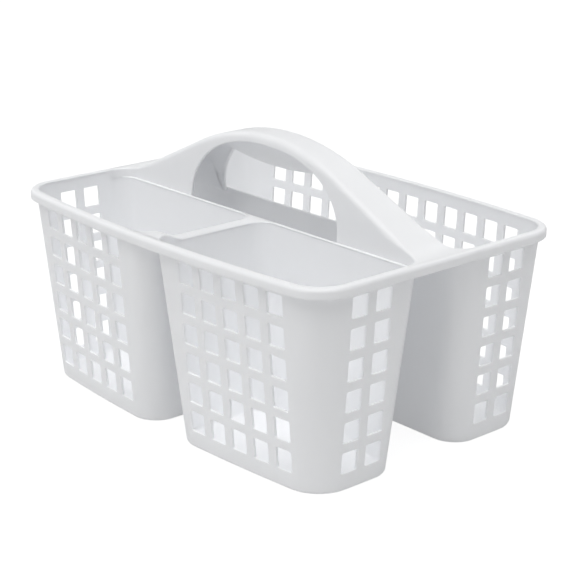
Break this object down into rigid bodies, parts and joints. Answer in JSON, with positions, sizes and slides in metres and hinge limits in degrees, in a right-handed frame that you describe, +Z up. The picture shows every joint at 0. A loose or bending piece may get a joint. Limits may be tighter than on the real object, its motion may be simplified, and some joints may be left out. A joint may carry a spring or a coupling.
{
  "type": "shower caddy",
  "caption": "Lattice-sided carrying caddy with two front bins, one long rear bin, a shared lipped rim and an arched centre handle.",
  "frame": {"origin": "on the ground, under the middle of the rim", "axes": "+X along the length of the caddy, +Y from the front bins towards the rear bin, +Z up"},
  "size_m": [0.322, 0.234, 0.191],
  "materials": {
    "white_polypropylene": "satin, slightly translucent white"
  },
  "bodies": {
    "root": {"front_left_bin_floor": "white_polypropylene", "front_left_bin_front_lattice": "white_polypropylene", "front_left_bin_side_lattice": "white_polypropylene", "front_left_bin_divider_wall": "white_polypropylene", "front_left_bin_back_wall": "white_polypropylene", "front_left_bin_corner_front_outer": "white_polypropylene", "front_left_bin_corner_front_inner": "white_polypropylene", "front_left_bin_corner_back_outer": "white_polypropylene", "front_left_bin_corner_back_inner": "white_polypropylene", "front_right_bin_floor": "white_polypropylene", "front_right_bin_front_lattice": "white_polypropylene", "front_right_bin_side_lattice": "white_polypropylene", "front_right_bin_divider_wall": "white_polypropylene", "front_right_bin_back_wall": "white_polypropylene", "front_right_bin_corner_front_outer": "white_polypropylene", "front_right_bin_corner_front_inner": "white_polypropylene", "front_right_bin_corner_back_outer": "white_polypropylene", "front_right_bin_corner_back_inner": "white_polypropylene", "rear_bin_floor": "white_polypropylene", "rear_bin_rear_lattice": "white_polypropylene", "rear_bin_right_lattice": "white_polypropylene", "rear_bin_left_lattice": "white_polypropylene", "rear_bin_front_wall": "white_polypropylene", "rear_bin_corner_rear_right": "white_polypropylene", "rear_bin_corner_rear_left": "white_polypropylene", "rear_bin_corner_front_right": "white_polypropylene", "rear_bin_corner_front_left": "white_polypropylene", "rim_front": "white_polypropylene", "rim_rear": "white_polypropylene", "rim_left": "white_polypropylene", "rim_right": "white_polypropylene", "rim_corner_front_left": "white_polypropylene", "rim_corner_front_right": "white_polypropylene", "rim_corner_rear_left": "white_polypropylene", "rim_corner_rear_right": "white_polypropylene", "divider_bar": "white_polypropylene", "handle_deck_left": "white_polypropylene", "handle_deck_right": "white_polypropylene", "handle_strap": "white_polypropylene", "handle_front_flange": "white_polypropylene", "handle_rear_flange": "white_polypropylene", "handle_web": "white_polypropylene"}
  },
  "joints": []
}
